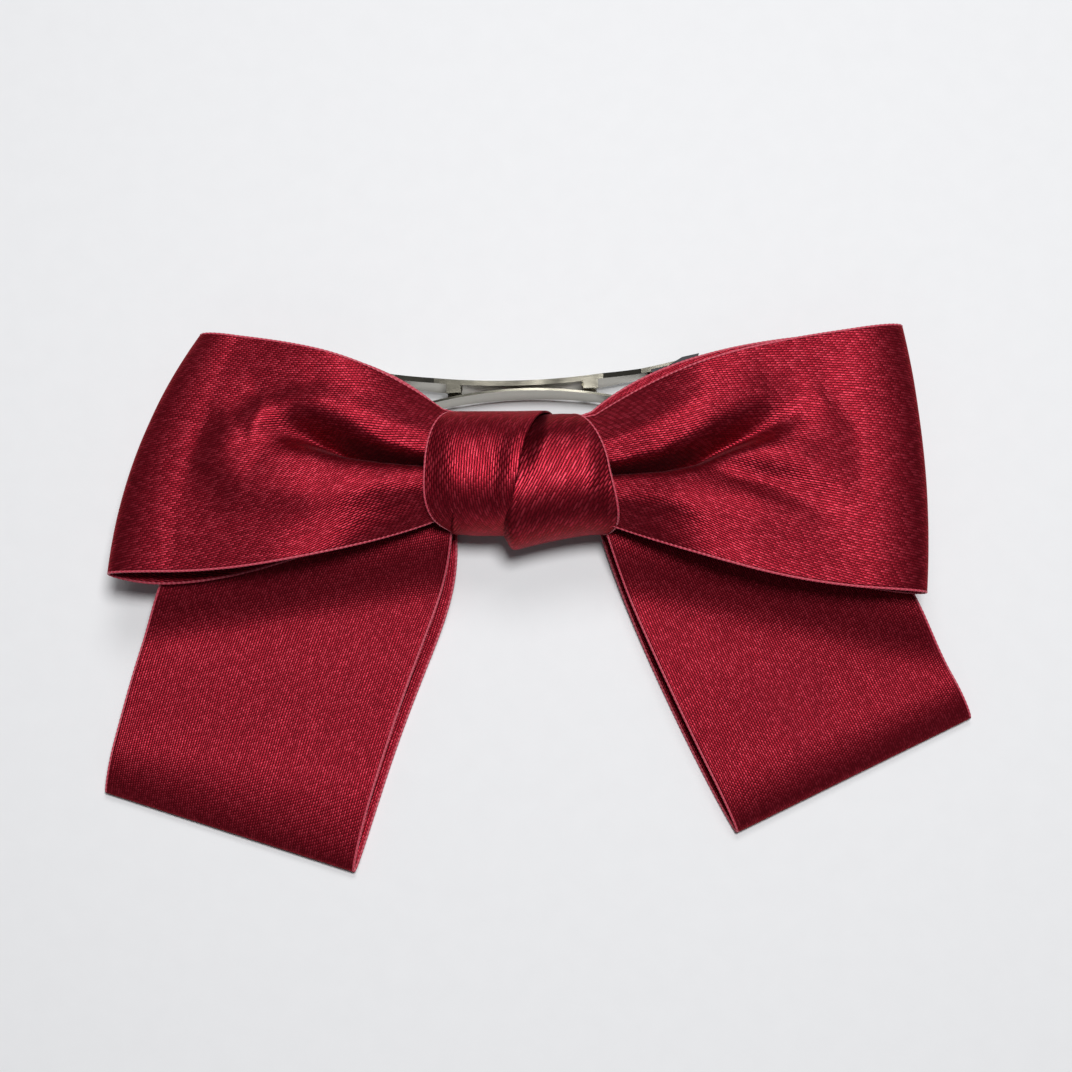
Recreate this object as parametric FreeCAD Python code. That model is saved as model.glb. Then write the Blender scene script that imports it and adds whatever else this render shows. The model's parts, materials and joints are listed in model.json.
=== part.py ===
"""Hair bow of wide satin ribbon, tied round the base plate of a spring barrette.

The bow lies face up on a table. +Z is up, X runs along the bow from loop to loop and the tails
point towards -Y. The origin is on the table, below the middle of the outline. Millimetres.
The barrette stands on its long edge behind the knot, with its arm on the side away from the bow.
"""
import FreeCAD
import Part
import math
import os

from FreeCAD import Vector

# Ribbon
CLOTH = 0.8                # wall that stands in for the satin ribbon

# Knot and the gathered middle of the ribbons
KNOT_BACK, KNOT_FRONT = 0.1, 18.8      # lowest and highest points of the knot ring
KNOT_LOW_Y, KNOT_HIGH_Y = 8.9, 28.2    # its outer faces across the bow
KNOT_FRONT_CORNER, KNOT_BACK_CORNER = 3.0, 1.2
PINCH_LOW_Y, PINCH_HIGH_Y = 10.9, 24.2
PINCH_BACK = 1.3           # underside of the gathered tails
PINCH_LEFT, PINCH_RIGHT = -14.0, 9.0
THREAD_LEFT, THREAD_RIGHT = -3.6, -1.2
THREAD_THICKNESS = 0.3

# Upper loops
LOOP_BACK = 9.4            # underside of the back layer
LOOP_FRONT = 18.6          # top of the front layer
LOOP_NECK = 15.8           # top of the front layer where it enters the knot
LOOP_NECK_SPAN = (LOOP_BACK, LOOP_NECK)
LOOP_FOLD_SPAN = (LOOP_BACK, LOOP_FRONT - 1.0)

# Tails
TAIL_NECK = 8.6            # top of the front layer where it enters the knot
TAIL_FOLD = 3.6            # height of the folded end
TAIL_CROWN = 7.2           # top of the front layer half-way along
TAIL_LIFT = 2.0            # height of the back layer where it enters the knot

# Barrette
CLIP_X, CLIP_Y = -2.3, 25.2        # middle of the base plate's bow-side face
CLIP_TILT = 2.0                    # degrees, clasp end away from the bow
CLIP_LOW, CLIP_HIGH = 1.0, 8.2     # edges of the base plate
CLIP_MIDDLE = (CLIP_LOW + CLIP_HIGH) / 2
BASE_RADIUS = 52.0                 # bow-side face of the base plate
BASE_THICKNESS = 0.7
BASE_END = 31.5                    # degrees either side of the middle
SPRING_RADIUS = 71.0
SPRING_TOP = 6.85                  # crest of the leaf above the base plate's bow-side face
SPRING_THICKNESS = 0.35
SPRING_HALF_WIDTH, SPRING_FOOT_HALF_WIDTH = 3.1, 1.5
SPRING_FOOT = (20.6, 25.0)         # degrees, the foot's two ends
SPRING_RIVET = 23.0                # degrees
ARM_RADIUS = 110.0
ARM_THICKNESS = 0.8
ARM_TOP = 8.1                      # arm's outer face above the base plate's bow-side face
ARM_HALF_WIDTH, ARM_NECK_HALF_WIDTH, TONGUE_HALF_WIDTH = 3.1, 2.5, 1.7
ARM_TIP = 25.0
ARM_TAPER = 6.0                     # length of each taper beside the widest part
LEG_X, LEG_WIDTH, LEG_LENGTH, LEG_THICKNESS = 10.6, 2.2, 1.7, 0.5
HINGE_ANGLE, HINGE_RADIUS = 30.5, 49.2     # the pin's place, polar about the base's centre
PIN_RADIUS, BARREL_BORE, BARREL_RADIUS = 0.8, 0.86, 1.35
EAR_RADIUS, EAR_THICKNESS = 1.7, 0.7
CATCH_START, CATCH_THICKNESS = 26.0, 0.6
CATCH_RIVET = 28.8
RIVET_RADIUS, RIVET_HEAD_RADIUS, RIVET_HEAD = 0.7, 1.15, 0.35
HEAD_CLEARANCE = 0.03              # a flat head on the hollow side of the plate
WING_THICKNESS, WING_GAP = 0.5, 0.1

# The frame's origin lies in the middle of the outline
SHIFT = Vector(-0.2, 0.51, 0.0)


def point(x, y, z=0.0):
    return Vector(x, y, z)


def closed_face(edges):
    return Part.Face(Part.Wire(Part.__sortEdges__(edges)))


def line(a, b):
    return Part.LineSegment(a, b).toShape()


def arc(a, middle, b):
    return Part.Arc(a, middle, b).toShape()


def polygon(points):
    return Part.Face(Part.makePolygon(list(points) + [points[0]]))


def block(x0, x1, y0, y1, z0, z1):
    return Part.makeBox(x1 - x0, y1 - y0, z1 - z0, point(x0, y0, z0))


def one_solid(shape):
    """The shape as a single clean solid."""
    clean = shape.removeSplitter()
    return clean.Solids[0] if len(clean.Solids) == 1 else clean


# ---------------------------------------------------------------- ribbons

def band(neck, fold, neck_heights, fold_heights, crown, sweep):
    """A ribbon doubled back on itself, seen from its edge and then swept across its width.

    It runs along X from neck to fold, with the lowest and highest points given at both ends.
    crown is the front layer's height between them, sweep the direction and length of the fold.
    """
    neck_back, neck_top = neck_heights
    back, fold_top = fold_heights
    side = 1.0 if fold > neck else -1.0
    fold_radius = (fold_top - back) / 2
    turn = fold - side * fold_radius
    crest = neck + 0.45 * (turn - neck)
    outer = Part.Wire([
        line(point(neck, 0, neck_back), point(turn, 0, back)),
        arc(point(turn, 0, back), point(fold, 0, back + fold_radius), point(turn, 0, fold_top)),
        arc(point(turn, 0, fold_top), point(crest, 0, crown), point(neck, 0, neck_top)),
        line(point(neck, 0, neck_top), point(neck, 0, neck_back)),
    ])
    inner = outer.makeOffset2D(-CLOTH)
    wall = Part.Face(outer).cut(Part.Face(inner))
    return wall.extrude(sweep)


def trimmed(band_shape, outline):
    """The part of a band whose plan lies inside the outline."""
    return band_shape.common(outline.extrude(point(0, 0, 2 * LOOP_FRONT)))


def left_loop():
    sweep = point(18.4, 50.0)
    shape = band(-14.0, -67.2, LOOP_NECK_SPAN, LOOP_FOLD_SPAN, LOOP_FRONT, sweep)
    shape.translate(point(0, -4.6))
    outline = closed_face([
        arc(point(-12, 24.0), point(-30, 35.2), point(-52.0, 39.2)),
        line(point(-52.0, 39.2), point(-80, 39.2)),
        line(point(-80, 39.2), point(-80, 2.4)),
        line(point(-80, 2.4), point(-62.0, 2.4)),
        arc(point(-62.0, 2.4), point(-38.0, 3.4), point(-12.0, 11.0)),
        line(point(-12.0, 11.0), point(-12, 24.0)),
    ])
    return trimmed(shape, outline)


def right_loop():
    sweep = point(-3.6, 50.0)
    shape = band(9.0, 59.0, LOOP_NECK_SPAN, LOOP_FOLD_SPAN, LOOP_FRONT, sweep)
    shape.translate(point(0, -4.6))
    outline = closed_face([
        arc(point(7.0, 24.0), point(30.0, 36.4), point(56.0, 40.6)),
        line(point(56.0, 40.6), point(80, 40.6)),
        line(point(80, 40.6), point(80, -0.9)),
        line(point(80, -0.9), point(56.0, -0.9)),
        arc(point(56.0, -0.9), point(32.0, 1.9), point(7.0, 11.0)),
        line(point(7.0, 11.0), point(7.0, 24.0)),
    ])
    return trimmed(shape, outline)


def gathered_middle(back, front):
    """Where a ribbon is drawn together inside the knot."""
    return block(PINCH_LEFT, PINCH_RIGHT, PINCH_LOW_Y, PINCH_HIGH_Y, back, front)


def upper_loop_ribbon():
    middle = gathered_middle(LOOP_BACK, LOOP_NECK - CLOTH / 2)
    return one_solid(middle.fuse([left_loop(), right_loop()]))


def tail(angle, length, fold_y, outline):
    """One doubled tail. angle is the way it points, in degrees from -Y; fold_y its end's place."""
    shape = band(0.0, length, (TAIL_LIFT, TAIL_NECK), (0.0, TAIL_FOLD), TAIL_CROWN, point(0, 120.0))
    shape.translate(point(0, -60.0))
    shape.rotate(point(0, 0), point(0, 0, 1), angle - 90.0)
    shape.translate(fold_y - Vector(math.sin(math.radians(angle)), -math.cos(math.radians(angle)), 0)
                    * length)
    return trimmed(shape, outline)


def left_tail():
    outline = closed_face([
        line(point(-13.0, 11.4), point(-15.0, 9.7)),
        line(point(-15.0, 9.7), point(-13.2, 5.0)),
        arc(point(-13.2, 5.0), point(-18.7, -12.0), point(-27.6, -42.5)),
        line(point(-27.6, -42.5), point(-69.0, -42.5)),
        line(point(-69.0, -42.5), point(-66.2, -30.0)),
        arc(point(-66.2, -30.0), point(-62.4, -12.0), point(-57.0, 5.0)),
        arc(point(-57.0, 5.0), point(-44.0, 19.0), point(-13.0, 23.6)),
        line(point(-13.0, 23.6), point(-13.0, 11.4)),
    ])
    return tail(-17.7, 62.0, point(-46.9, -35.4), outline)


def right_tail():
    outline = closed_face([
        line(point(8.0, 11.4), point(11.0, 8.6)),
        arc(point(11.0, 8.6), point(18.7, -11.6), point(29.9, -36.6)),
        line(point(29.9, -36.6), point(80.0, -45.0)),
        line(point(80.0, -45.0), point(67.6, -20.4)),
        arc(point(67.6, -20.4), point(59.6, -5.3), point(52.0, 8.0)),
        arc(point(52.0, 8.0), point(36.0, 20.0), point(8.0, 23.6)),
        line(point(8.0, 23.6), point(8.0, 11.4)),
    ])
    return tail(25.6, 58.0, point(48.2, -27.0), outline)


def tail_ribbon():
    middle = gathered_middle(PINCH_BACK, TAIL_NECK)
    return one_solid(middle.fuse([left_tail(), right_tail()]))


def knot_section(inset):
    """The knot ring's outer shape, or its hollow when inset, as a bar along X."""
    bar = block(-20.0, 15.0, KNOT_LOW_Y + inset, KNOT_HIGH_Y - inset, KNOT_BACK + inset, KNOT_FRONT - inset)
    along = [edge for edge in bar.Edges if abs(edge.tangentAt(edge.FirstParameter).x) > 0.9]
    middle = (KNOT_BACK + KNOT_FRONT) / 2
    front = [edge for edge in along if edge.CenterOfMass.z > middle]
    bar = bar.makeFillet(KNOT_FRONT_CORNER - inset, front)
    along = [edge for edge in bar.Edges if abs(edge.tangentAt(edge.FirstParameter).x) > 0.9]
    back = [edge for edge in along if edge.CenterOfMass.z < KNOT_BACK + inset + 0.01]
    return bar.makeFillet(KNOT_BACK_CORNER - inset, back)


def centre_knot_ribbon():
    tube = knot_section(0.0).cut(knot_section(CLOTH))
    outline = closed_face([
        arc(point(-14.6, 29.0), point(-17.0, 16.0), point(-14.4, 8.0)),
        line(point(-14.4, 8.0), point(9.9, 8.0)),
        arc(point(9.9, 8.0), point(11.6, 13.6), point(6.4, 29.0)),
        line(point(6.4, 29.0), point(-14.6, 29.0)),
    ])
    return one_solid(trimmed(tube, outline))


def binding_thread():
    t = THREAD_THICKNESS
    front = LOOP_NECK - CLOTH / 2
    outer = block(THREAD_LEFT, THREAD_RIGHT, PINCH_LOW_Y - t, PINCH_HIGH_Y + t, PINCH_BACK - t, front + t)
    inner = block(THREAD_LEFT, THREAD_RIGHT, PINCH_LOW_Y, PINCH_HIGH_Y, PINCH_BACK, front)
    return outer.cut(inner)


# ---------------------------------------------------------------- barrette
# Drawn about the middle of the base plate's bow-side face, with Y away from the bow and Z
# measured from the table, and then put in its place by placed().

BASE_CENTRE = point(0.0, BASE_RADIUS)


def placed(shape):
    shape.rotate(point(0, 0), point(0, 0, 1), CLIP_TILT)
    shape.translate(point(CLIP_X, CLIP_Y))
    return shape


def on_base(degrees, radius, z=0.0):
    """A point at an angle from the base plate's middle, towards the clasp when positive."""
    turn = math.radians(degrees)
    return BASE_CENTRE + point(radius * math.sin(turn), -radius * math.cos(turn), z)


def curved_strip(inner, outer, start, end, z0, z1):
    """A strip concentric with the base plate."""
    middle = (start + end) / 2
    face = closed_face([
        arc(on_base(start, outer), on_base(middle, outer), on_base(end, outer)),
        line(on_base(end, outer), on_base(end, inner)),
        arc(on_base(end, inner), on_base(middle, inner), on_base(start, inner)),
        line(on_base(start, inner), on_base(start, outer)),
    ])
    face.translate(point(0, 0, z0))
    return face.extrude(point(0, 0, z1 - z0))


def radial_cylinder(degrees, radius, inner, outer):
    """A round bar that stands square to the base plate."""
    start = on_base(degrees, inner, CLIP_MIDDLE)
    way = on_base(degrees, outer, CLIP_MIDDLE) - start
    return Part.makeCylinder(radius, way.Length, start, way)


def rivet(degrees, stack):
    """A rivet through the base plate and what lies on it, stack being that piece's thickness."""
    inner = BASE_RADIUS - BASE_THICKNESS - stack
    shank = radial_cylinder(degrees, RIVET_RADIUS, inner - RIVET_HEAD, BASE_RADIUS)
    near_head = radial_cylinder(degrees, RIVET_HEAD_RADIUS, inner - RIVET_HEAD, inner - HEAD_CLEARANCE)
    far_head = radial_cylinder(degrees, RIVET_HEAD_RADIUS, BASE_RADIUS, BASE_RADIUS + RIVET_HEAD)
    return one_solid(shank.fuse([near_head, far_head]))


def rivet_hole(degrees):
    return radial_cylinder(degrees, RIVET_RADIUS, BASE_RADIUS - 3 * BASE_THICKNESS,
                           BASE_RADIUS + BASE_THICKNESS)


HINGE = on_base(-HINGE_ANGLE, HINGE_RADIUS)


def hinge_ear(z0):
    """One of the two lugs that the hinge pin passes through."""
    root = BASE_RADIUS - BASE_THICKNESS / 2
    spread = math.degrees(EAR_RADIUS / HINGE_RADIUS)
    web = polygon([on_base(-HINGE_ANGLE - 1.0, root),
                   on_base(-HINGE_ANGLE + 3.2, root),
                   on_base(-HINGE_ANGLE + spread, HINGE_RADIUS),
                   on_base(-HINGE_ANGLE - spread, HINGE_RADIUS)])
    web.translate(point(0, 0, z0))
    boss = Part.makeCylinder(EAR_RADIUS, EAR_THICKNESS, HINGE + point(0, 0, z0))
    return web.extrude(point(0, 0, EAR_THICKNESS)).fuse(boss)


def base_plate():
    inner = BASE_RADIUS - BASE_THICKNESS
    strip = curved_strip(inner, BASE_RADIUS, -BASE_END, BASE_END, CLIP_LOW, CLIP_HIGH)
    ears = [hinge_ear(CLIP_LOW), hinge_ear(CLIP_HIGH - EAR_THICKNESS)]
    holes = [rivet_hole(degrees) for degrees in (-SPRING_RIVET, SPRING_RIVET, CATCH_RIVET)]
    holes.append(Part.makeCylinder(PIN_RADIUS, CLIP_HIGH, HINGE))
    return placed(one_solid(strip.fuse(ears).cut(holes[0]).cut(holes[1]).cut(holes[2]).cut(holes[3])))


def hinge_pin():
    start = HINGE + point(0, 0, CLIP_LOW - 0.25)
    return placed(Part.makeCylinder(PIN_RADIUS, CLIP_HIGH - CLIP_LOW + 0.5, start))


def leaf_blank(length, half_width, end_half_width):
    """The leaf's plan, wide in the middle, as a prism that is tall along Y."""
    outline = [point(-length, -8, CLIP_MIDDLE - end_half_width),
               point(0, -8, CLIP_MIDDLE - half_width),
               point(length, -8, CLIP_MIDDLE - end_half_width),
               point(length, -8, CLIP_MIDDLE + end_half_width),
               point(0, -8, CLIP_MIDDLE + half_width),
               point(-length, -8, CLIP_MIDDLE + end_half_width)]
    face = closed_face([
        arc(outline[0], outline[1], outline[2]),
        line(outline[2], outline[3]),
        arc(outline[3], outline[4], outline[5]),
        line(outline[5], outline[0]),
    ])
    return face.extrude(point(0, 40))


def arc_height(radius, top, x):
    """Height at x of an arc whose crest is top and whose centre lies below it."""
    return top - radius + math.sqrt(radius * radius - x * x)


def tension_spring():
    foot_radius = BASE_RADIUS - BASE_THICKNESS
    t = SPRING_THICKNESS
    reach = on_base(SPRING_FOOT[0] + 0.6, foot_radius - t).x
    outer_y = arc_height(SPRING_RADIUS, SPRING_TOP, reach)
    inner_y = arc_height(SPRING_RADIUS - t, SPRING_TOP - t, reach)
    bow = closed_face([
        arc(point(-reach, outer_y), point(0, SPRING_TOP), point(reach, outer_y)),
        line(point(reach, outer_y), point(reach, inner_y)),
        arc(point(reach, inner_y), point(0, SPRING_TOP - t), point(-reach, inner_y)),
        line(point(-reach, inner_y), point(-reach, outer_y)),
    ]).extrude(point(0, 0, CLIP_HIGH))
    near, far = SPRING_FOOT
    feet = [curved_strip(foot_radius - t, foot_radius, side * near, side * far, 0, CLIP_HIGH)
            for side in (-1, 1)]
    blank = leaf_blank(on_base(SPRING_FOOT[1], foot_radius).x, SPRING_HALF_WIDTH, SPRING_FOOT_HALF_WIDTH)
    under_plate = curved_strip(foot_radius, BASE_RADIUS + 20, -BASE_END, BASE_END, -1, CLIP_HIGH + 1)
    leaf = bow.fuse(feet).common(blank).cut(under_plate)
    for side in (-1, 1):
        leaf = leaf.cut(rivet_hole(side * SPRING_RIVET))
    return placed(one_solid(leaf))


def arm_face(x, offset=0.0):
    """Height of the arm's outer face at x; the arm bows the same way as the base plate."""
    return ARM_TOP + ARM_RADIUS - math.sqrt(ARM_RADIUS * ARM_RADIUS - x * x) - offset


def arm_blank():
    """The arm's plan, narrow at the hinge, widest between the legs, as a prism that is tall along Y."""
    sides = [(HINGE.x, ARM_NECK_HALF_WIDTH), (-LEG_X - ARM_TAPER - 3, ARM_NECK_HALF_WIDTH),
             (-LEG_X - 3, ARM_HALF_WIDTH), (LEG_X + 2, ARM_HALF_WIDTH),
             (LEG_X + 2 + ARM_TAPER, TONGUE_HALF_WIDTH), (ARM_TIP - 1, TONGUE_HALF_WIDTH),
             (ARM_TIP, TONGUE_HALF_WIDTH - 0.8)]
    outline = [point(x, -8, CLIP_MIDDLE + half_width) for x, half_width in sides]
    outline += [point(x, -8, CLIP_MIDDLE - half_width) for x, half_width in reversed(sides)]
    return polygon(outline).extrude(point(0, 40))


def arm_strip():
    t = ARM_THICKNESS
    start, end = HINGE.x, ARM_TIP
    middle = (start + end) / 2
    outer = [point(x, arm_face(x)) for x in (start, middle, end)]
    inner = [point(x, arm_face(x, t)) for x in (end, middle, start)]
    face = closed_face([arc(*outer), line(outer[-1], inner[0]), arc(*inner), line(inner[-1], outer[0])])
    return face.extrude(point(0, 0, CLIP_HIGH)).common(arm_blank())


def arm_leg(x, side):
    """A tab bent down from the arm's edge, which keeps the hair in the middle of the clip."""
    top = arm_face(x, ARM_THICKNESS / 2)
    edge = CLIP_MIDDLE + side * ARM_HALF_WIDTH
    z0, z1 = sorted((edge, edge - side * LEG_THICKNESS))
    return block(x - LEG_WIDTH / 2, x + LEG_WIDTH / 2, top - LEG_LENGTH, top, z0, z1)


def locking_arm():
    barrel = Part.makeCylinder(BARREL_RADIUS, 2 * ARM_NECK_HALF_WIDTH,
                               HINGE + point(0, 0, CLIP_MIDDLE - ARM_NECK_HALF_WIDTH))
    bore = Part.makeCylinder(BARREL_BORE, CLIP_HIGH, HINGE)
    legs = [arm_leg(x, side) for x in (-LEG_X, LEG_X) for side in (-1, 1)]
    return placed(one_solid(arm_strip().fuse([barrel] + legs).cut(bore)))


def clasp_catch():
    outer = BASE_RADIUS - BASE_THICKNESS
    floor = curved_strip(outer - CATCH_THICKNESS, outer, CATCH_START, BASE_END, CLIP_LOW, CLIP_HIGH)
    return placed(one_solid(floor.cut(rivet_hole(CATCH_RIVET))))


def clasp_wing(z0):
    """One of the two side plates that are squeezed together to let the arm go."""
    root = BASE_RADIUS - BASE_THICKNESS - CATCH_THICKNESS - WING_GAP
    foot, heel = on_base(CATCH_START - 1.5, root), on_base(BASE_END + 0.6, root)
    crown = [point(27.5, 11.2), point(24.9, 10.7), point(22.6, 9.4), point(20.0, 8.9)]
    plate = polygon([foot, heel] + crown)
    plate.translate(point(0, 0, z0))
    return placed(plate.extrude(point(0, 0, WING_THICKNESS)))


def glue_pad():
    """Hot-melt glue between the gathered ribbons and the base plate."""
    near_side = PINCH_HIGH_Y - CLIP_Y + THREAD_THICKNESS + 0.2
    pad = block(-5.0, 5.0, near_side, 1.0, CLIP_LOW + 1.2, CLIP_HIGH - 1.2)
    plate_side = Part.makeCylinder(BASE_RADIUS, CLIP_HIGH, BASE_CENTRE)
    return placed(one_solid(pad.cut(plate_side)))


NODES = {
    "upper_loop_ribbon": upper_loop_ribbon,
    "tail_ribbon": tail_ribbon,
    "centre_knot_ribbon": centre_knot_ribbon,
    "binding_thread": binding_thread,
    "glue_pad": glue_pad,
    "base_plate": base_plate,
    "tension_spring": tension_spring,
    "spring_rivet_hinge_end": lambda: placed(rivet(-SPRING_RIVET, SPRING_THICKNESS)),
    "spring_rivet_clasp_end": lambda: placed(rivet(SPRING_RIVET, SPRING_THICKNESS)),
    "hinge_pin": hinge_pin,
    "locking_arm": locking_arm,
    "clasp_catch": clasp_catch,
    "clasp_rivet": lambda: placed(rivet(CATCH_RIVET, CATCH_THICKNESS)),
    "clasp_wing_lower": lambda: clasp_wing(CLIP_LOW - WING_THICKNESS - WING_GAP),
    "clasp_wing_upper": lambda: clasp_wing(CLIP_HIGH + WING_GAP),
}


def main():
    os.makedirs("parts", exist_ok=True)
    for node, build in NODES.items():
        shape = build()
        shape.translate(SHIFT)
        shape.exportStep("parts/" + node + ".step")


main()
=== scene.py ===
"""Hair bow of burgundy satin ribbon on a spring barrette, lying face up on a pale table."""
import bpy
import json
import math
import numpy as np
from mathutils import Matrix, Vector


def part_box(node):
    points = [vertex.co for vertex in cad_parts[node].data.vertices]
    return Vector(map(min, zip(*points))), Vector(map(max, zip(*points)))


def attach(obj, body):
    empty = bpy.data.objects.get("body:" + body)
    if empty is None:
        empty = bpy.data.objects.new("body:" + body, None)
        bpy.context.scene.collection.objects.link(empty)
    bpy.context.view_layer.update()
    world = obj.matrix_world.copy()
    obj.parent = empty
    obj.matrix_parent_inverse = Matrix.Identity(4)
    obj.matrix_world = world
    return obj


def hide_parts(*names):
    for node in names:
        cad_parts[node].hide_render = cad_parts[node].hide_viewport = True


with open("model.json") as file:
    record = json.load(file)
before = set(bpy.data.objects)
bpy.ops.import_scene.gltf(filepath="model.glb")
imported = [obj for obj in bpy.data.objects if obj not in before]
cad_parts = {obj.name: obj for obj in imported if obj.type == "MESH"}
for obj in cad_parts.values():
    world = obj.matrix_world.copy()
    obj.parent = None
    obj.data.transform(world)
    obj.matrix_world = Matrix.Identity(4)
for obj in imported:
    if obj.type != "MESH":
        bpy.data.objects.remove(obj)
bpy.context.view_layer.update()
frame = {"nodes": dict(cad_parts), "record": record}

# All sizes below are in millimetres unless a name says otherwise.
MM = 0.001
CENTRE = np.array([-0.2, 0.51])     # where the outlines' own origin lies in the frame
RIBBON_WIDTH = 40.0
RIBBON_THICKNESS = 0.32
ACROSS = 96                         # points across a ribbon
BEAD_RADIUS = 0.21                  # the ribbon's stitched edge
BEAD_STITCH = 0.75
BEAD_SWELL = 0.10                   # of its radius, at each stitch
BEAD_SIDES = 8
NOT_ALONG_A_BEAD = np.array([0.13, 0.21, 1.0])


# ---------------------------------------------------------------- small maths

def bezier(points, t):
    """A cubic Bezier curve through arrays of parameters."""
    a, b, c, d = (np.array(p, float) for p in points)
    t = np.asarray(t, float)[..., None]
    return a * (1 - t) ** 3 + 3 * b * t * (1 - t) ** 2 + 3 * c * t * t * (1 - t) + d * t ** 3


def ease(x, low, high):
    """0 below low, 1 above high and a smooth step between."""
    t = np.clip((x - low) / (high - low), 0.0, 1.0)
    return t * t * (3 - 2 * t)


def crease(x, y, path, steep=1.0):
    """Height of a soft fold along a path of (x, y, height, width) points, height below 0 for a valley.

    steep narrows the side towards +Y, and widens the other side by the same ratio.
    """
    best = np.full(x.shape, 1e9)
    height = np.zeros(x.shape)
    for (ax, ay, ah, aw), (bx, by, bh, bw) in zip(path, path[1:]):
        dx, dy = bx - ax, by - ay
        t = np.clip(((x - ax) * dx + (y - ay) * dy) / (dx * dx + dy * dy), 0.0, 1.0)
        side = np.where(y > ay + t * dy, steep, 1 / steep)
        reach = side * np.hypot(x - ax - t * dx, y - ay - t * dy) / (aw + t * (bw - aw))
        nearer = reach < best
        best = np.where(nearer, reach, best)
        height = np.where(nearer, ah + t * (bh - ah), height)
    return height * np.exp(-best ** 2)


# ---------------------------------------------------------------- meshes

def lengths(grid, axis):
    """Distance run along a grid of points, from its first row or column."""
    steps = np.linalg.norm(np.diff(grid, axis=axis), axis=2)
    start = np.zeros_like(np.take(steps, [0], axis=axis))
    return np.concatenate([start, np.cumsum(steps, axis=axis)], axis=axis)


def sheet_mesh(name, grid, across, along, material):
    """A mesh over a grid of points, with its cloth coordinates in millimetres as its UV map."""
    rows, columns, _ = grid.shape
    points = grid.reshape(-1, 3).copy()
    points[:, :2] += CENTRE
    corners = [r * columns + c for r in range(rows - 1) for c in range(columns - 1)]
    faces = [(k, k + 1, k + columns + 1, k + columns) for k in corners]
    mesh = bpy.data.meshes.new(name)
    mesh.from_pydata((points * MM).tolist(), [], faces)
    cloth = mesh.uv_layers.new(name="cloth")
    index = np.empty(len(mesh.loops), dtype=np.int32)
    mesh.loops.foreach_get("vertex_index", index)
    uv = np.stack([across.ravel()[index], along.ravel()[index]], axis=1)
    cloth.data.foreach_set("uv", uv.astype(np.float32).ravel())
    mesh.shade_smooth()
    mesh.materials.append(material)
    piece = bpy.data.objects.new(name, mesh)
    bpy.context.collection.objects.link(piece)
    return piece


def ribbon(name, grid, material, turn=0.0, gathered=False):
    """A strip of ribbon over a grid whose rows run along it and whose columns run across it.

    A gathered strip shows less than the ribbon's width, so its threads keep their own spacing.
    turn is the angle of the weave to the strip, in radians.
    """
    run = lengths(grid, 1)
    across = run if gathered else run / run[:, -1:] * RIBBON_WIDTH
    along = lengths(grid, 0)
    along = np.repeat(along[:, along.shape[1] // 2][:, None], grid.shape[1], axis=1)
    if turn:
        c, s = math.cos(turn), math.sin(turn)
        across, along = across * c - along * s, across * s + along * c
    piece = sheet_mesh(name, grid, across, along, material)
    solid = piece.modifiers.new("thickness", "SOLIDIFY")
    solid.thickness = RIBBON_THICKNESS * MM
    solid.offset = 0.0
    return piece


def joined(name, pieces):
    """Several pieces as one."""
    for other in bpy.context.selected_objects:
        other.select_set(False)
    for piece in pieces:
        piece.select_set(True)
    bpy.context.view_layer.objects.active = pieces[0]
    bpy.ops.object.join()
    pieces[0].name = name
    pieces[0].data.name = name
    return pieces[0]


def bead(name, path, material, radius=BEAD_RADIUS):
    """The bright stitched edge of a ribbon, as a thin cord whose thickness swells at each stitch."""
    path = np.asarray(path)
    run = np.concatenate([[0], np.cumsum(np.linalg.norm(np.diff(path, axis=0), axis=1))])
    count = max(8, int(run[-1] / (BEAD_STITCH / 4)))
    even = np.linspace(0, run[-1], count)
    path = np.stack([np.interp(even, run, path[:, k]) for k in range(3)], axis=1)
    tangent = np.gradient(path, axis=0)
    tangent /= np.linalg.norm(tangent, axis=1)[:, None]
    side = np.cross(tangent, NOT_ALONG_A_BEAD)
    side /= np.linalg.norm(side, axis=1)[:, None]
    up = np.cross(side, tangent)
    swell = radius * (1 + BEAD_SWELL * np.cos(2 * math.pi * even / BEAD_STITCH))
    angle = np.linspace(0, 2 * math.pi, BEAD_SIDES + 1)
    ring = side[:, None] * np.cos(angle)[None, :, None] + up[:, None] * np.sin(angle)[None, :, None]
    grid = path[:, None] + ring * swell[:, None, None]
    across = np.repeat(angle[None] * radius, count, axis=0)
    along = np.repeat(even[:, None], BEAD_SIDES + 1, axis=1)
    return sheet_mesh(name, grid, across, along, material)


# ---------------------------------------------------------------- materials
# Noise scales are per metre and bump distances are in metres. UV coordinates are in millimetres.

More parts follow.
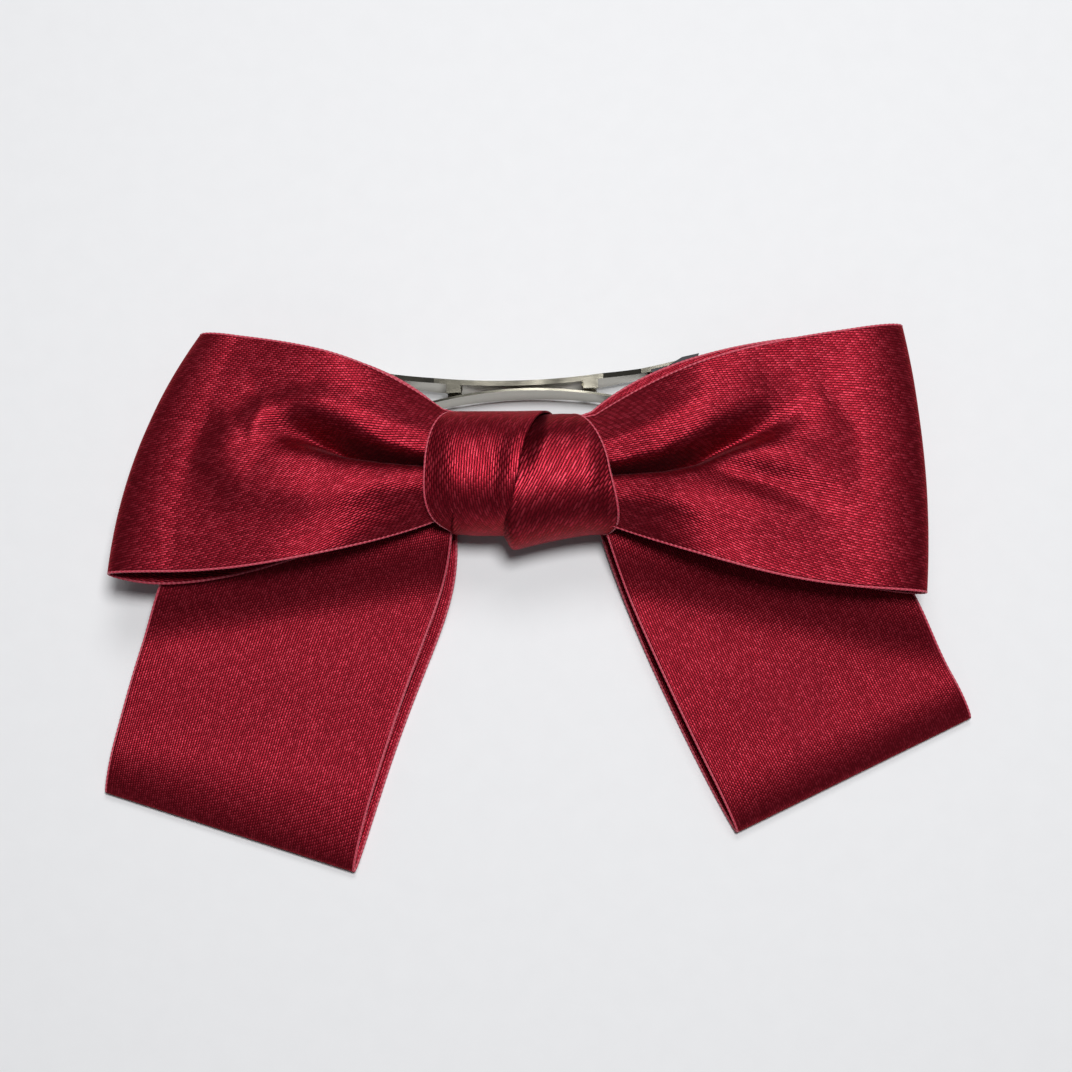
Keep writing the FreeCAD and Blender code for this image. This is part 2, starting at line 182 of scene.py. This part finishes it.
class Nodes:
    """Short names for building a node material."""

    def __init__(self, name):
        self.material = bpy.data.materials.new(name)
        self.material.use_nodes = True
        self.tree = self.material.node_tree
        self.shader = self.tree.nodes["Principled BSDF"]

    def add(self, kind, **inputs):
        """A new node. An input is named, with _ for a space, or numbered, as i0."""
        node = self.tree.nodes.new("ShaderNode" + kind)
        for key, value in inputs.items():
            self.plug(node, key, value)
        return node

    def plug(self, node, key, value):
        numbered = key[0] == "i" and key[1:].isdigit()
        socket = node.inputs[int(key[1:]) if numbered else key.replace("_", " ")]
        if isinstance(value, bpy.types.NodeSocket):
            self.tree.links.new(value, socket)
        else:
            socket.default_value = value

    def maths(self, operation, a, b=0.0):
        node = self.add("Math", i0=a, i1=b)
        node.operation = operation
        return node.outputs[0]

    def noise(self, vector, scale, detail=2.0):
        node = self.add("TexNoise", Vector=vector, Scale=scale, Detail=detail, Roughness=0.5)
        return node.outputs["Fac"]

    def mix(self, factor, a, b):
        node = self.add("Mix")
        node.data_type = "RGBA"
        self.plug(node, "i0", factor)
        self.plug(node, "i6", a)
        self.plug(node, "i7", b)
        return node.outputs[2]

    def bump(self, height, distance, strength):
        return self.add("Bump", Height=height, Distance=distance, Strength=strength).outputs[0]

    def set(self, **values):
        """Sets or links the shader's own inputs, with _ for a space in their names."""
        for key, value in values.items():
            self.plug(self.shader, key, value)


# The darkest satin colour is a painted shade for the weave's grooves and also the tone of randomly dull
# floats; the lightest is a painted highlight for the brightest floats' crowns.
SATIN_SHADE_AND_DARK_TONE = (0.090, 0.0042, 0.0078, 1)
SATIN_MID = (0.26, 0.0092, 0.0210, 1)
SATIN_PAINTED_HIGHLIGHT = (0.52, 0.048, 0.078, 1)
THREAD_WANDER = 1.6                 # threads that the weave drifts sideways by
FLOAT_STAGGER = 0.38                # of a float's length, from one thread to the next
FLOAT_SQUARENESS = 0.45             # below 1 for floats that stay high up to their ends


def satin(name, pitch, float_length, contrast, glint, shade=1.0):
    """Satin weave: rounded threads along the ribbon whose floats end in a staggered pattern.

    Each float has its own random tone, and the colour carries painted light as well: a painted shade in
    the grooves between threads and a painted highlight on the crowns of the brightest floats. pitch and
    float_length are in millimetres, contrast is how dark the painted groove shade is, glint is how
    strongly the painted highlight makes the brightest floats stand out, and shade scales the whole colour
    as painted light.
    """
    n = Nodes(name)
    split = n.add("SeparateXYZ", Vector=n.add("TexCoord").outputs["UV"])
    across, along = split.outputs[0], split.outputs[1]
    drift_across, drift_along = n.maths("MULTIPLY", across, 0.25), n.maths("MULTIPLY", along, 0.08)
    drift = n.noise(n.add("CombineXYZ", X=drift_across, Y=drift_along).outputs[0], 1.0)
    wander = n.maths("MULTIPLY", drift, THREAD_WANDER)
    place = n.maths("ADD", n.maths("DIVIDE", across, pitch), wander)
    thread = n.maths("FLOOR", place)
    stagger = n.maths("MULTIPLY", thread, FLOAT_STAGGER)
    step = n.maths("ADD", n.maths("DIVIDE", along, float_length), stagger)
    cell = n.add("CombineXYZ", X=thread, Y=n.maths("FLOOR", step)).outputs[0]
    chance = n.add("TexWhiteNoise", Vector=cell).outputs["Value"]
    crown = n.maths("SINE", n.maths("MULTIPLY", n.maths("FRACT", place), math.pi))
    arch = n.maths("SINE", n.maths("MULTIPLY", n.maths("FRACT", step), math.pi))
    dip = n.maths("POWER", arch, FLOAT_SQUARENESS)
    height = n.maths("MULTIPLY", crown, dip)
    # shade scales the satin's base colour as painted light, lighter or darker for a whole piece.
    base = tuple(shade * c for c in SATIN_MID[:3]) + (1,)
    # Painted shade: the thread grooves, where height is low, are mixed towards the darkest satin colour.
    groove_shade = n.maths("MULTIPLY", n.maths("SUBTRACT", 1.0, height), contrast)
    colour = n.mix(groove_shade, base, SATIN_SHADE_AND_DARK_TONE)
    # Painted highlight: the crowns of randomly chosen floats are mixed towards the lightest satin colour.
    bright = n.add("MapRange", Value=chance, i1=0.5, i2=1.0).outputs[0]
    painted_highlight = n.maths("MULTIPLY", n.maths("MULTIPLY", bright, height), glint)
    colour = n.mix(painted_highlight, colour, SATIN_PAINTED_HIGHLIGHT)
    dull = n.add("MapRange", Value=chance, i1=0.45, i2=0.0).outputs[0]
    colour = n.mix(n.maths("MULTIPLY", dull, 0.5 * contrast), colour, SATIN_SHADE_AND_DARK_TONE)
    n.set(Base_Color=colour, Normal=n.bump(height, 0.00006, 0.7))
    n.set(Metallic=0.78, Roughness=0.42, Anisotropic=0.3, Anisotropic_Rotation=0.25)
    n.set(Sheen_Weight=0.06, Sheen_Roughness=0.35, Sheen_Tint=(0.95, 0.35, 0.42, 1))
    n.shader.inputs["Specular IOR Level"].default_value = 0.45
    n.shader.inputs["Specular Tint"].default_value = (1.0, 0.30, 0.36, 1)
    tangent = n.add("Tangent")
    tangent.direction_type = "UV_MAP"
    tangent.uv_map = "cloth"
    n.plug(n.shader, "Tangent", tangent.outputs[0])
    return n.material


def edging(name):
    """The selvage: tight bright stitches across a thin cord."""
    n = Nodes(name)
    split = n.add("SeparateXYZ", Vector=n.add("TexCoord").outputs["UV"])
    turns = n.maths("MULTIPLY", split.outputs[1], 2 * math.pi / BEAD_STITCH)
    wave = n.maths("ADD", n.maths("MULTIPLY", n.maths("SINE", turns), 0.5), 0.5)
    fibre = n.noise(n.add("TexCoord").outputs["Object"], 6000.0, 2.0)
    # The cord is a lighter red than the satin, and each stitch's crest is painted lighter still with the
    # wave that shapes its bump, a painted highlight.
    colour = n.mix(wave, (0.44, 0.030, 0.060, 1), (0.60, 0.075, 0.115, 1))
    n.set(Base_Color=colour, Normal=n.bump(n.maths("ADD", wave, fibre), 0.00006, 0.7))
    n.set(Roughness=0.5, Sheen_Weight=0.3, Sheen_Roughness=0.4, Sheen_Tint=(1.0, 0.6, 0.65, 1))
    return n.material


def metal(name, colour, roughness, wear):
    """Plated or near-black steel with fine drawing marks and slight handling wear."""
    n = Nodes(name)
    place = n.add("TexCoord").outputs["Object"]
    stretched = n.add("Mapping", Vector=place, Scale=(0.08, 1.0, 1.0)).outputs[0]
    marks = n.noise(stretched, 3600.0, 3.0)
    smudge = n.noise(place, 225.0, 3.0)
    light = tuple(c * 1.06 for c in colour) + (1,)
    dark = tuple(c * 0.92 for c in colour) + (1,)
    n.set(Base_Color=n.mix(smudge, dark, light))
    rough = n.add("MapRange", Value=smudge, i1=0.3, i2=0.7, i3=roughness, i4=roughness + wear).outputs[0]
    n.set(Roughness=rough, Normal=n.bump(marks, 0.00001, 0.25), Metallic=1.0)
    return n.material


def glue(name):
    """Lumpy hot-melt glue."""
    n = Nodes(name)
    lumps = n.noise(n.add("TexCoord").outputs["Object"], 700.0, 3.0)
    n.set(Base_Color=n.mix(lumps, (0.72, 0.69, 0.6, 1), (0.86, 0.84, 0.78, 1)))
    n.set(Normal=n.bump(lumps, 0.0002, 0.6), Roughness=0.35, Subsurface_Weight=0.2)
    n.shader.inputs["Subsurface Radius"].default_value = (0.001, 0.001, 0.001)
    return n.material


def table_top(name):
    """Pale matte card."""
    n = Nodes(name)
    grain = n.noise(n.add("TexCoord").outputs["Object"], 260.0, 4.0)
    n.set(Base_Color=n.mix(grain, (0.80, 0.805, 0.82, 1), (0.83, 0.835, 0.85, 1)))
    n.set(Roughness=0.75, Normal=n.bump(grain, 0.0001, 0.2))
    return n.material


# Copies of one satin: the last argument, shade, paints light into the whole colour, brighter for the knot
# and darker for the tails.
LOOP_SATIN = satin("satin_loops", 0.38, 0.85, 0.85, 0.46)
TAIL_SATIN = satin("satin_tails", 0.36, 0.45, 0.75, 0.36, 0.85)
KNOT_SATIN = satin("satin_knot", 0.38, 1.3, 0.9, 0.50, 1.15)
KNOT_SLANTED_SATIN = satin("satin_knot_slanted", 0.50, 1.5, 1.0, 0.50)
EDGING = edging("satin_edging")
THREAD = edging("thread_fibre")


# ---------------------------------------------------------------- upper loops

PINCH_X = -2.6                      # where the knot holds every ribbon
PINCH_Y = (11.6, 23.8)
FRONT_Z, BACK_Z = 15.2, 9.9         # a loop's two layers at the knot
FRONT_LIFT = 1.2                    # how far the front layer rises as it leaves the knot
FOLD_SHARE = 0.15                   # part of a loop's length that the folded end takes
LOOP_TWILL = (math.radians(-16), math.radians(-10))
SLIT_STEEPNESS = 0.85
LIP_OFFSET = 1.2                    # from a slit to the lip below it, of the slit's width
LIP_DEPTH = -6.0                    # slits this deep have the full lip
CURL_LOW, CURL_HIGH = 3.8, 2.6      # how far a loop's two edges curl down at the knot

# An outline is a Bezier curve's four points. A slit and a fold are points of x, y, height and width.

LEFT_LOOP = dict(
    low=[(-15.2, 10.5), (-30.0, 4.7), (-42.0, 0.9), (-64.6, 2.5)],
    high=[(-14.6, 27.2), (-24.0, 34.2), (-38.0, 37.3), (-51.6, 39.0)],
    back_low=[(-15.2, 12.0), (-30.0, 9.2), (-46.0, -1.6), (-64.6, 1.9)],
    back_high=[(-14.6, 27.6), (-24.0, 37.2), (-38.0, 38.4), (-51.6, 39.0)],
    bulge=(-2.4, 0.9),
    crown=18.2,
    fall=3.0,
    slit=[(-10, 17.9, -6.6, 0.8), (-17.4, 18.1, -7.4, 0.8), (-23.5, 18.7, -7.8, 1.2),
          (-28.5, 19.7, -6.6, 1.9), (-33.5, 21.6, -4.2, 2.5), (-38.0, 23.2, -2.0, 3.1),
          (-42.5, 24.4, 0, 3.5)],
    folds=[
        [(-27, 30.8, 0, 2.4), (-33.6, 30.8, -0.6, 2.6), (-42.2, 28.8, -0.9, 2.8), (-50.0, 24.0, -0.7, 3.4),
         (-53.5, 17.0, -0.3, 4.0), (-54.0, 10.0, 0, 4)],
        [(-15, 15.4, 0.5, 1.9), (-24, 15.0, 0.9, 2.4), (-34, 13.4, 1.0, 3.4), (-43.8, 15.0, 0.9, 3.8),
         (-48.0, 19.6, 0.8, 3.6), (-46.4, 25.2, 0.8, 3.2), (-36, 28.0, 0.7, 2.8), (-25, 25.2, 0.6, 2.4),
         (-15, 22.0, 0.5, 1.8)],
    ],
)
RIGHT_LOOP = dict(
    low=[(9.6, 10.2), (22.0, 5.4), (33.0, -0.5), (58.0, -0.8)],
    high=[(8.6, 26.3), (21.5, 34.6), (36.0, 37.3), (55.4, 40.2)],
    back_low=[(9.6, 12.0), (22.0, 9.0), (33.0, 2.6), (58.0, -0.6)],
    back_high=[(8.2, 27.7), (19.0, 37.4), (36.0, 39.9), (55.4, 40.4)],
    bulge=(1.5, 0.0),
    crown=18.2,
    fall=1.6,
    slit=[(4, 16.6, -6.6, 0.8), (12, 16.8, -7.2, 0.8), (18.5, 17.4, -7.0, 1.3), (24.0, 18.9, -5.6, 1.9),
          (31.7, 22.4, -3.2, 2.5), (37, 25.6, -1.4, 3.1), (42, 29, 0, 3.5)],
    folds=[
        [(20, 16.6, -0.4, 1.2), (27, 17.0, -1.1, 1.7), (34, 15.7, -1.0, 2.3), (41.9, 12.7, -0.6, 3.0),
         (45.5, 8.5, 0, 3.6)],
        [(25, 18.8, 0.3, 1.4), (32, 19.4, 0.7, 2.0), (39, 18.8, 0.6, 2.8), (47, 14.5, 0.2, 4.0)],
        [(9, 13.0, 0.5, 1.9), (20, 13.0, 1.0, 2.6), (33, 10.2, 0.7, 4.0), (45, 8, 0, 5)],
        [(8, 20.4, 0.5, 1.8), (16, 23.4, 0.9, 2.6), (25, 27.4, 0.7, 3.2), (34, 31.5, 0.0, 3.6)],
        [(24, 32, 0, 3.0), (34, 33.2, -0.5, 3.2), (42.5, 31, -0.7, 3.6), (48.0, 25, -0.7, 3.6),
         (50, 17, -0.3, 4), (50, 9, 0, 4)],
    ],
)


def plan(edges_low, edges_high, shape, s, q):
    """Places over a loop: s from the knot to the folded end, q across from its lower edge."""
    low, high = bezier(edges_low, s), bezier(edges_high, s)
    place = low * (1 - q[..., None]) + high * q[..., None]
    swell = 4 * q * (1 - q) * s ** 2
    return place + swell[..., None] * np.array(shape["bulge"])


def front_height(shape, s, q, x, y):
    """Height of a loop's front layer, with its pleat and soft folds."""
    start = FRONT_Z + FRONT_LIFT
    rise = start + (shape["crown"] - start) * ease(s, 0.0, 0.42) - shape["fall"] * ease(s, 0.45, 1.0)
    outward = 2 * q - 1
    edge_curl = np.where(outward < 0, CURL_LOW, CURL_HIGH)
    curl = (1 - ease(s, 0.0, 0.55)) * np.abs(outward) ** 2.5 * edge_curl
    folds = sum(crease(x, y, path) for path in shape["folds"])
    folds = folds + crease(x, y, shape["slit"], SLIT_STEEPNESS)
    return rise - curl + folds * (1 - ease(s, 0.82, 1.0))


def back_height(s, q):
    """Height of a loop's back layer, nearly flat, with two shallow pleats at the knot."""
    pleats = np.exp(-((q - 0.12) / 0.07) ** 2) + np.exp(-((q - 0.85) / 0.08) ** 2)
    waviness = 0.2 * np.sin(5 * q + 4 * s) * ease(s, 0.1, 0.5)
    return BACK_Z + 1.6 * pleats * (1 - ease(s, 0.0, 0.45)) + waviness


def loop_grid(shape):
    """The whole of one loop: out along the front, round the folded end and home along the back.

    The front is pushed towards +Y in a lip below its slit, so that the slit closes over.
    """
    across = np.linspace(0, 1, ACROSS)
    turn = 1 - FOLD_SHARE
    lip = [(x, y - LIP_OFFSET * width, (0.5 + 0.4 * width) * min(1.0, depth / LIP_DEPTH), 0.8 * width)
           for x, y, depth, width in shape["slit"]]
    angle = np.linspace(math.pi / 2, -math.pi / 2, 26)[1:-1]

    def layer(s_values, blend, height, lipped=False):
        s, q = np.meshgrid(s_values, across, indexing="ij")
        blend = np.broadcast_to(np.asarray(blend, float)[:, None], s.shape)
        front = plan(shape["low"], shape["high"], shape, s, q)
        back = plan(shape["back_low"], shape["back_high"], shape, s, q)
        place = front * (1 - blend[..., None]) + back * blend[..., None]
        z = height(s, q, place[..., 0], place[..., 1])
        if lipped:
            place[..., 1] += crease(place[..., 0], place[..., 1], lip)
        return np.dstack([place, z])

    def over(s, q, x, y):
        return front_height(shape, s, q, x, y)

    def under(s, q, x, y):
        return back_height(s, q)

    def around(s, q, x, y):
        top, bottom = front[-1, :, 2], back[0, :, 2]
        lift = np.sin(angle)[:, None]
        return (top + bottom) / 2 + (top - bottom) / 2 * lift

    front = layer(np.linspace(0, turn, 90), np.zeros(90), over, lipped=True)
    back = layer(np.linspace(turn, 0, 60), np.ones(60), under)
    fold = layer(turn + FOLD_SHARE * np.cos(angle), 0.5 - 0.5 * np.sin(angle), around)
    necks = neck(front[0], FRONT_Z), neck(back[-1], BACK_Z)[::-1]
    return np.concatenate([necks[0], front, fold, back, necks[1]])


def neck(edge, height, steps=14):
    """From the middle of the knot out to a loop's first row."""
    q = np.linspace(0, 1, edge.shape[0])
    start = np.stack([np.full_like(q, PINCH_X), PINCH_Y[0] + q * (PINCH_Y[1] - PINCH_Y[0]),
                      height + 0.3 * np.sin(q * 26)], axis=1)
    t = np.linspace(0, 1, steps, endpoint=False)[:, None, None]
    return start[None] * (1 - t) + edge[None] * t


def edge_beads(name, grids):
    """The stitched edges of several ribbon stretches as one piece."""
    beads = []
    for number, grid in enumerate(grids):
        beads.append(bead(f"{name}_{number}_low", grid[:, 0], EDGING))
        beads.append(bead(f"{name}_{number}_high", grid[:, -1], EDGING))
    return joined(name, beads)


def upper_loops():
    """Both loops and their edging."""
    grids = [loop_grid(LEFT_LOOP), loop_grid(RIGHT_LOOP)]
    loops = [ribbon(f"loop_{k}", grid, LOOP_SATIN, LOOP_TWILL[k]) for k, grid in enumerate(grids)]
    cloth = joined("upper_loops", loops)
    edges = edge_beads("upper_loops_edging", grids)
    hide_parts("upper_loop_ribbon")
    declare(cloth, edges)


def declare(cloth, edges):
    """Puts a ribbon and its edging on the bow's body."""
    for piece in (cloth, edges):
        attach(piece, "bow")


# ---------------------------------------------------------------- tails

# brow is where the slope from the loops ends: x, y and how fast y rises with x.
# inner is 0 or 1, for the low or high side that faces the other tail.
LEFT_TAIL = dict(
    left=[(-44.0, 20.0), (-56.5, 13.0), (-61.5, -10.0), (-66.2, -29.6)],
    right=[(-13.2, 12.0), (-13.8, -2.0), (-19.0, -5.0), (-28.6, -41.6)],
    back_left=[(-43.0, 20.0), (-55.5, 13.0), (-60.5, -10.0), (-65.8, -29.8)],
    back_right=[(-13.0, 12.0), (-11.4, -3.6), (-18.2, -6.0), (-27.6, -41.8)],
    brow=(-36.0, 5.5, 0.16),
    inner=1,
)
RIGHT_TAIL = dict(
    left=[(9.6, 12.0), (12.0, 3.5), (19.5, -14.0), (30.6, -35.8)],
    right=[(46.0, 16.0), (55.0, 6.0), (58.0, -3.0), (66.5, -18.2)],
    back_left=[(9.2, 12.0), (11.6, 3.5), (18.4, -14.0), (29.9, -35.6)],
    back_right=[(46.0, 16.0), (54.0, 6.0), (57.4, -3.0), (66.0, -18.4)],
    brow=(35.0, 3.5, -0.21),
    inner=0,
)
TAIL_TOP_Z, TAIL_END_Z, TAIL_BACK_Z = 8.2, 4.3, 0.35
TAIL_TIP_Z = 1.1                    # the outermost line of the folded end
TAIL_END_DROP = 0.5                 # of the front layer, on its way to the fold
TAIL_FOLD_SHARE = 0.13              # part of a tail's length that the folded end takes


def tail_grid(shape):
    """One tail: down its front layer, round the folded end and up its back layer."""
    across = np.linspace(0, 1, ACROSS)
    turn = 1 - TAIL_FOLD_SHARE

    def layer(s_values, blend, height):
        s, q = np.meshgrid(s_values, across, indexing="ij")
        blend = np.asarray(blend, float)[:, None, None]
        sides = []
        for side in ("left", "right"):
            front, back = bezier(shape[side], s), bezier(shape["back_" + side], s)
            sides.append(front * (1 - blend) + back * blend)
        place = sides[0] * (1 - q[..., None]) + sides[1] * q[..., None]
        return np.dstack([place, height(s, q, place[..., 0], place[..., 1])])

    def front_z(s, q, x, y):
        brow_x, brow_y, brow_slope = shape["brow"]
        below = y - brow_y - brow_slope * (x - brow_x)
        slope = TAIL_END_Z + (TAIL_TOP_Z - TAIL_END_Z) * ease(below, -9.5, 1.5)
        waviness = 0.3 * np.sin(3.2 * q + 2.5 * s) * (1 - ease(s, 0.7, 1.0))
        return slope - TAIL_END_DROP * ease(s, 0.6, turn) + waviness

    def back_z(s, q, x, y):
        return TAIL_BACK_Z + 1.9 * (1 - ease(s, 0.0, 0.7))

    front = layer(np.linspace(0, turn, 70), np.zeros(70), front_z)
    back = layer(np.linspace(turn, 0, 40), np.ones(40), back_z)
    angle = np.linspace(math.pi / 2, -math.pi / 2, 22)[1:-1]

    def around(s, q, x, y):
        top, bottom = front[-1, :, 2], back[0, :, 2]
        rise = np.sin(angle)[:, None]
        outer = np.abs(q - shape["inner"])
        down = np.clip(rise, 0, 1) ** (1.2 + 0.5 * outer)
        return TAIL_TIP_Z + (top - TAIL_TIP_Z) * down + (TAIL_TIP_Z - bottom) * np.clip(rise, -1, 0)

    fold = layer(turn + TAIL_FOLD_SHARE * np.cos(angle), 0.5 - 0.5 * np.sin(angle), around)
    return np.concatenate([gather(front[0], 7.0), front, fold, back, gather(back[-1], 3.0)[::-1]])


def gather(edge, height, steps=26):
    """From the pinch inside the knot out to a tail's first row, fanning from a narrow pleated stack."""
    q = np.linspace(0, 1, edge.shape[0])
    # The left tail's outer side goes to the stack's +Y end, and so does the right tail's.
    if edge[0, 0] < edge[-1, 0] < 0:
        order = 1 - q
    else:
        order = q
    start = np.stack([np.full_like(q, PINCH_X), PINCH_Y[0] + order * (PINCH_Y[1] - PINCH_Y[0]),
                      height + 0.5 * np.sin(q * 30)], axis=1)
    t = np.linspace(0, 1, steps, endpoint=False)[:, None, None]
    ripple = 0.7 * np.sin(q * 24)[None] * np.sin(math.pi * t[..., 0])
    out = start[None] * (1 - t) + edge[None] * t
    out[..., 2] += ripple
    return out


def tails():
    """Both tails and their edging."""
    grids = [tail_grid(LEFT_TAIL), tail_grid(RIGHT_TAIL)]
    cloth = joined("tails", [ribbon(f"tail_{k}", grid, TAIL_SATIN) for k, grid in enumerate(grids)])
    edges = edge_beads("tails_edging", grids)
    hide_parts("tail_ribbon")
    declare(cloth, edges)


# ---------------------------------------------------------------- knot

KNOT_MIDDLE_Z, KNOT_HALF_Z = 9.5, 9.25
KNOT_SQUARENESS = 2.5               # 2 for an ellipse, more for a squarer ring
# x of each line over the wrap's front, as a Bezier curve from its +Y side to its -Y side
KNOT_LEFT_EDGE = [(-10.5,), (-16.9,), (-20.8,), (-11.8,)]
KNOT_RIGHT_EDGE = [(3.2,), (7.6,), (15.6,), (10.0,)]
KNOT_CREASE = [(3.0,), (-1.0,), (-5.6,), (-4.6,)]
KNOT_TUCK = 8.5                     # how far the right half reaches under the left one
KNOT_BACK_GAP = 0.25                # between the two halves behind the knot


def left_half(x, q):
    """The left half's lower and upper y, and its extra height with a ridge along the crease."""
    low = 9.0 + 0.5 * ease(-x, 9.0, 15.0)
    high = np.full_like(x, 27.3)
    ridge = 1.2 * np.exp(-((q - 0.95) / 0.16) ** 2)
    top = 0.5 + ridge - 1.6 * ease(-x, 12.0, 18.5) + 0.35 * np.sin(2.6 * q)
    return low, high, top


def right_half(x, q, past_crease, front):
    """The same for the right half, whose tip hangs lowest and whose upper part dips by the crease."""
    low = 9.2 - 2.4 * np.clip((9.0 - x) / 12.4, 0, 1) ** 1.4 * ease(x, -5.6, -3.8)
    high = 27.2 - 0.3 * q
    dip = (1 - ease(past_crease, -0.4, 3.0)) * (1 - ease(front, 0.25, 0.6))[:, None]
    top = 0.4 - 2.4 * dip - 1.5 * ease(x, 6.5, 12.5)
    return low, high, top


def knot_patch(kind, steps=120, columns=60):
    """Half of the knot's wrap: the left one lies over the right one along the slanting crease."""
    angle = np.linspace(-math.pi / 2, 1.5 * math.pi, steps)
    front = np.clip((angle + 0.25) / (math.pi + 0.5), 0, 1)
    across = np.linspace(0, 1, columns)
    lines = KNOT_LEFT_EDGE, KNOT_RIGHT_EDGE, KNOT_CREASE
    left, right, crease_x = (bezier(line, front) for line in lines)
    if kind == "left":
        x = left * (1 - across) + crease_x * across
    else:
        x = (crease_x - KNOT_TUCK) * (1 - across) + right * across
    q = np.broadcast_to(across, x.shape)
    if kind == "left":
        low, high, top = left_half(x, q)
        gap = 0.0
    else:
        low, high, top = right_half(x, q, x - crease_x, front)
        gap = KNOT_BACK_GAP
    middle = (low + high) / 2
    half = (high - low) / 2
    power = 2 / KNOT_SQUARENESS
    c, s = np.cos(angle)[:, None], np.sin(angle)[:, None]
    y = middle + half * np.sign(c) * np.abs(c) ** power
    z = KNOT_MIDDLE_Z + KNOT_HALF_Z * np.sign(s) * np.abs(s) ** power + top * np.clip(s, 0, 1)
    return np.dstack([x, y, z + gap * np.clip(-s, 0, 1)])


def knot():
    """The wrap's two halves and its edging."""
    left, right = knot_patch("left"), knot_patch("right")
    pieces = [ribbon("knot_left", left, KNOT_SATIN, gathered=True),
              ribbon("knot_right", right, KNOT_SLANTED_SATIN, math.radians(-15), gathered=True)]
    cloth = joined("knot_wrap", pieces)
    edges = joined("knot_wrap_edging", [bead("knot_bead_left", left[:, 0], EDGING),
                                        bead("knot_bead_right", right[:, -1], EDGING)])
    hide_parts("centre_knot_ribbon")
    declare(cloth, edges)


def thread():
    """The binding thread's turns round the pinched ribbons."""
    low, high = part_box("binding_thread")
    low, high = np.array(low) / MM, np.array(high) / MM
    low[:2] -= CENTRE
    high[:2] -= CENTRE
    turns, steps_in_turn, radius, squareness = 7, 48, 0.17, 0.35
    angle = np.linspace(0, 2 * math.pi * turns, turns * steps_in_turn)
    c, s = np.cos(angle), np.sin(angle)
    middle, half = (low + high) / 2, (high - low) / 2 - radius
    x = low[0] + radius + (high[0] - low[0] - 2 * radius) * angle / angle[-1]
    y = middle[1] + half[1] * np.sign(c) * np.abs(c) ** squareness
    z = middle[2] + half[2] * np.sign(s) * np.abs(s) ** squareness
    piece = bead("binding_thread_turns", np.stack([x, y, z], axis=1), THREAD, radius)
    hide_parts("binding_thread")
    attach(piece, "bow")


# ---------------------------------------------------------------- barrette

def finish_nodes():
    """Gives each metal and glue node its finish."""
    finishes = {
        "nickel_steel": metal("nickel_plate", (0.34, 0.32, 0.26), 0.10, 0.06),
        "spring_steel": metal("tempered_steel", (0.30, 0.285, 0.23), 0.14, 0.06),
        # Near-black metal for the clasp.
        "black_steel": metal("near_black_steel", (0.016, 0.016, 0.017), 0.32, 0.15),
        "glue": glue("hot_melt_glue"),
    }
    slots = {part["node"]: part["material_slot"] for part in frame["record"]["subparts"]}
    for node, piece in frame["nodes"].items():
        finish = finishes.get(slots[node])
        if finish is None:
            continue
        for slot in piece.material_slots:
            slot.material = finish
        if not piece.material_slots:
            piece.data.materials.append(finish)


# ---------------------------------------------------------------- studio

# The camera looks almost straight down on the bow, from the tails' side.
CAMERA_TARGET = Vector((-0.6, 9.3, 8.0)) * MM
CAMERA_ELEVATION = math.radians(80)
CAMERA_DISTANCE = 350 * MM
VIEW_WIDTH = 163.7 * MM
# Lamps hang over the table, in metres and watts: place, size and power.
LAMPS = {
    "key": ((0.05, 0.06, 0.62), 0.15, 2.95),
    "window": ((0.02, 0.34, 0.52), 0.24, 0.95),
    "low": ((-0.10, -0.30, 0.45), 0.20, 0.05),
}


def studio():
    """Table, camera, lamps and dim room."""
    bpy.ops.mesh.primitive_plane_add(size=3.0, location=(0, 0, -0.0001))
    floor = bpy.context.object
    floor.name = "table"
    floor.data.materials.append(table_top("table_top"))
    back = Vector((0, -math.cos(CAMERA_ELEVATION), math.sin(CAMERA_ELEVATION)))
    camera_data = bpy.data.cameras.new("camera")
    camera = bpy.data.objects.new("camera", camera_data)
    bpy.context.collection.objects.link(camera)
    camera.location = CAMERA_TARGET + back * CAMERA_DISTANCE
    camera.rotation_euler = (-back).to_track_quat("-Z", "Y").to_euler()
    camera_data.lens = camera_data.sensor_width * CAMERA_DISTANCE / VIEW_WIDTH
    camera_data.clip_start, camera_data.clip_end = 0.01, 10.0
    bpy.context.scene.camera = camera
    for name, (place, size, power) in LAMPS.items():
        area_light(name, place, size, power)
    world = bpy.data.worlds.new("room")
    world.use_nodes = True
    sky = world.node_tree.nodes["Background"]
    sky.inputs["Color"].default_value = (0.93, 0.95, 1.0, 1)
    sky.inputs["Strength"].default_value = 0.07
    bpy.context.scene.world = world
    bpy.context.scene.view_settings.view_transform = "Standard"


def area_light(name, place, size, power):
    """A round lamp that points at the bow."""
    data = bpy.data.lights.new(name, "AREA")
    data.shape = "DISK"
    data.size = size
    data.energy = power
    light = bpy.data.objects.new(name, data)
    light.location = place
    light.rotation_euler = (CAMERA_TARGET - Vector(place)).to_track_quat("-Z", "Y").to_euler()
    bpy.context.collection.objects.link(light)


studio()
upper_loops()
tails()
knot()
thread()
finish_nodes()
